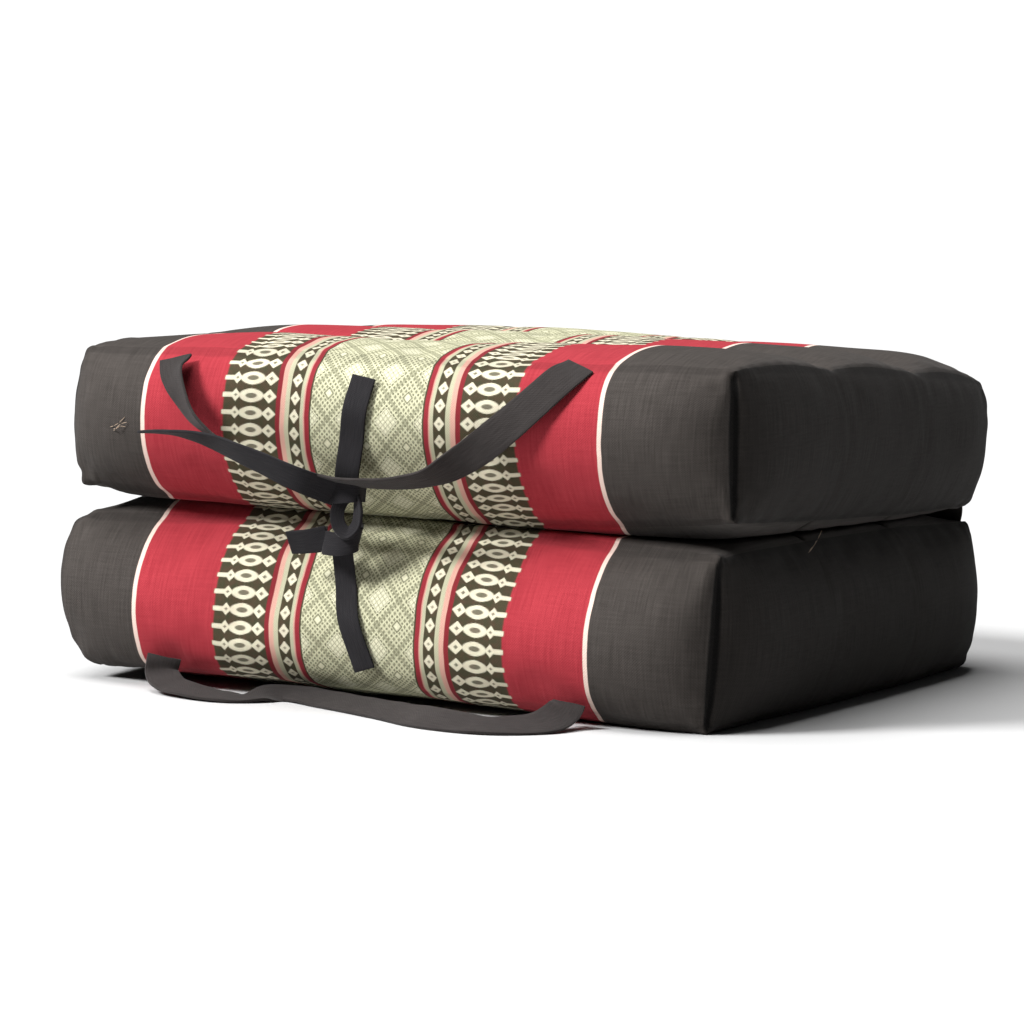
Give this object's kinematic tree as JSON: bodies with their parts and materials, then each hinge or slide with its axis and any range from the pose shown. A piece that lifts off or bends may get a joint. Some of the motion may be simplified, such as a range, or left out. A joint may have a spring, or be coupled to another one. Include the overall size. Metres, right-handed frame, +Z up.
{
  "type": "folding floor cushion",
  "caption": "Folding meditation floor cushion: stuffed halves with sewn channels and a woven striped cover, folded shut, tied at the front, with tape carrying loops.",
  "frame": {"origin": "centre of the folded cushion's footprint, on the face that rests on the floor", "axes": "+Z up, -Y towards the front edge with the ties and the loops, +Y towards the fold, +X to the right as seen from the front"},
  "size_m": [0.366, 0.4198, 0.1746],
  "materials": {
    "woven_cover": "woven cotton, charcoal ends, red bands and a cream patterned middle",
    "plain_cover": "plain charcoal cotton",
    "tape": "plain charcoal cotton tape"
  },
  "bodies": {
    "root": {"upper_half": "woven_cover", "lower_half": "woven_cover", "fold_hinge": "plain_cover", "upper_handle": "tape", "lower_handle": "tape", "upper_tie": "tape", "lower_tie": "tape", "tie_knot": "tape", "upper_tie_tail": "tape", "lower_tie_tail": "tape"}
  },
  "joints": []
}
